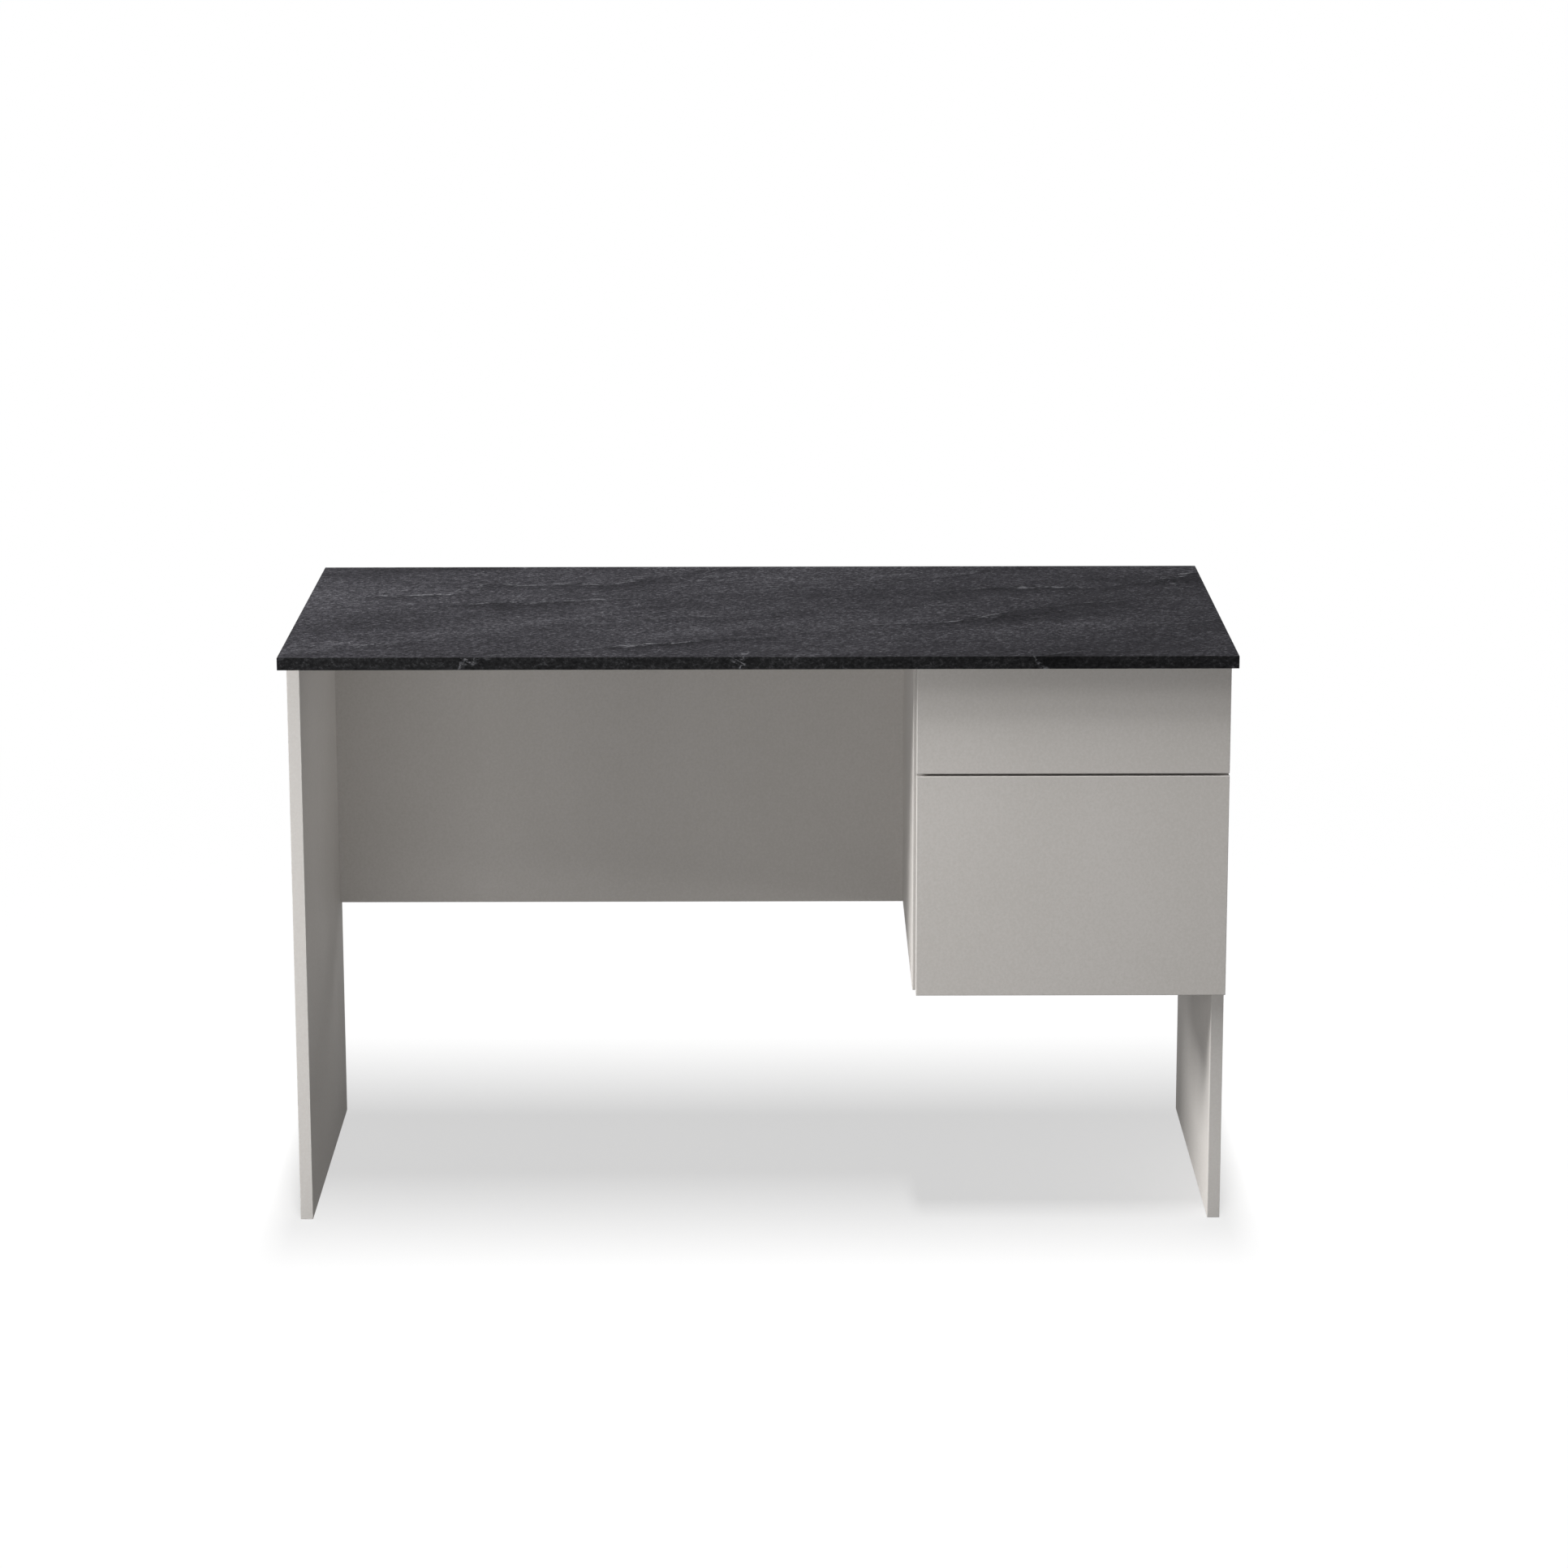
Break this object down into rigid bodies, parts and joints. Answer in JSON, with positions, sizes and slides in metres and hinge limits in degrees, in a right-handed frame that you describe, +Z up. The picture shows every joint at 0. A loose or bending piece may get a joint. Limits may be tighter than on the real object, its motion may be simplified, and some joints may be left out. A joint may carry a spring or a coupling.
{
  "type": "writing desk with drawers",
  "caption": "Writing desk with a dark slate-look top on light grey panel sides, a back panel and a hanging pedestal of handleless push-to-open drawers on telescopic slides.",
  "frame": {"origin": "on the floor, under the middle of the desk top", "axes": "+X to the right of someone sitting at the desk, along its width; +Y to the back; +Z up"},
  "size_m": [1.2, 0.6, 0.75],
  "materials": {
    "slate_decor_board": "chipboard faced with dark slate-look melamine, matt",
    "slate_decor_edging": "slate-look plastic edging, matt",
    "light_grey_board": "chipboard faced with plain warm light grey melamine, fine pearl matt",
    "drawer_box_board": "foil-wrapped chipboard, light grey, matt",
    "drawer_hardboard": "painted hardboard, light grey",
    "beech_dowel": "raw beech",
    "zinc_cam": "die-cast zinc, dull",
    "zinc_plated_steel": "bright zinc plate",
    "slide_steel": "roll-formed zinc-plated steel, satin",
    "ball_cage_steel": "plain steel strip and balls",
    "black_plastic": "moulded, matt"
  },
  "bodies": {
    "carcass": {"back_panel": "light_grey_board", "cam_bolts": "zinc_plated_steel", "cam_discs": "zinc_cam", "desk_top": "slate_decor_board", "desk_top_edging": "slate_decor_edging", "dowels": "beech_dowel", "left_side_panel": "light_grey_board", "lower_left_cabinet_rail": "slide_steel", "lower_left_push_unit": "black_plastic", "lower_right_cabinet_rail": "slide_steel", "lower_right_push_unit": "black_plastic", "panel_screws": "zinc_plated_steel", "pedestal_floor": "light_grey_board", "pedestal_partition": "light_grey_board", "right_side_panel": "light_grey_board", "upper_left_cabinet_rail": "slide_steel", "upper_left_push_unit": "black_plastic", "upper_right_cabinet_rail": "slide_steel", "upper_right_push_unit": "black_plastic"},
    "upper_drawer": {"upper_drawer_back": "drawer_box_board", "upper_drawer_bottom": "drawer_hardboard", "upper_drawer_front": "light_grey_board", "upper_drawer_front_screws": "zinc_plated_steel", "upper_drawer_inner_front": "drawer_box_board", "upper_drawer_left_side": "drawer_box_board", "upper_drawer_right_side": "drawer_box_board", "upper_left_drawer_rail": "slide_steel", "upper_right_drawer_rail": "slide_steel"},
    "lower_drawer": {"lower_drawer_back": "drawer_box_board", "lower_drawer_bottom": "drawer_hardboard", "lower_drawer_front": "light_grey_board", "lower_drawer_front_screws": "zinc_plated_steel", "lower_drawer_inner_front": "drawer_box_board", "lower_drawer_left_side": "drawer_box_board", "lower_drawer_right_side": "drawer_box_board", "lower_left_drawer_rail": "slide_steel", "lower_right_drawer_rail": "slide_steel"},
    "upper_middle_rails": {"upper_left_middle_rail": "slide_steel", "upper_right_middle_rail": "slide_steel"},
    "upper_outer_ball_cages": {"upper_left_outer_ball_cage": "ball_cage_steel", "upper_right_outer_ball_cage": "ball_cage_steel"},
    "upper_inner_ball_cages": {"upper_left_inner_ball_cage": "ball_cage_steel", "upper_right_inner_ball_cage": "ball_cage_steel"},
    "lower_middle_rails": {"lower_left_middle_rail": "slide_steel", "lower_right_middle_rail": "slide_steel"},
    "lower_outer_ball_cages": {"lower_left_outer_ball_cage": "ball_cage_steel", "lower_right_outer_ball_cage": "ball_cage_steel"},
    "lower_inner_ball_cages": {"lower_left_inner_ball_cage": "ball_cage_steel", "lower_right_inner_ball_cage": "ball_cage_steel"}
  },
  "joints": [
    {"name": "upper_drawer_slide", "type": "slide", "parent": "carcass", "child": "upper_drawer", "axis": [0, -1, 0], "range_m": [-0.0025, 0.35]},
    {"name": "upper_middle_rails_slide", "type": "slide", "parent": "carcass", "child": "upper_middle_rails", "axis": [0, -1, 0], "range_m": [-0.00125, 0.175]},
    {"name": "upper_outer_ball_cages_slide", "type": "slide", "parent": "carcass", "child": "upper_outer_ball_cages", "axis": [0, -1, 0], "range_m": [-0.00063, 0.0875]},
    {"name": "upper_inner_ball_cages_slide", "type": "slide", "parent": "carcass", "child": "upper_inner_ball_cages", "axis": [0, -1, 0], "range_m": [-0.00187, 0.2625]},
    {"name": "lower_drawer_slide", "type": "slide", "parent": "carcass", "child": "lower_drawer", "axis": [0, -1, 0], "range_m": [-0.0025, 0.35]},
    {"name": "lower_middle_rails_slide", "type": "slide", "parent": "carcass", "child": "lower_middle_rails", "axis": [0, -1, 0], "range_m": [-0.00125, 0.175]},
    {"name": "lower_outer_ball_cages_slide", "type": "slide", "parent": "carcass", "child": "lower_outer_ball_cages", "axis": [0, -1, 0], "range_m": [-0.00063, 0.0875]},
    {"name": "lower_inner_ball_cages_slide", "type": "slide", "parent": "carcass", "child": "lower_inner_ball_cages", "axis": [0, -1, 0], "range_m": [-0.00187, 0.2625]}
  ],
  "couplings": [
    {"joint": "upper_middle_rails_slide", "follows": "upper_drawer_slide", "ratio": 0.5},
    {"joint": "upper_outer_ball_cages_slide", "follows": "upper_drawer_slide", "ratio": 0.25},
    {"joint": "upper_inner_ball_cages_slide", "follows": "upper_drawer_slide", "ratio": 0.75},
    {"joint": "lower_middle_rails_slide", "follows": "lower_drawer_slide", "ratio": 0.5},
    {"joint": "lower_outer_ball_cages_slide", "follows": "lower_drawer_slide", "ratio": 0.25},
    {"joint": "lower_inner_ball_cages_slide", "follows": "lower_drawer_slide", "ratio": 0.75}
  ]
}
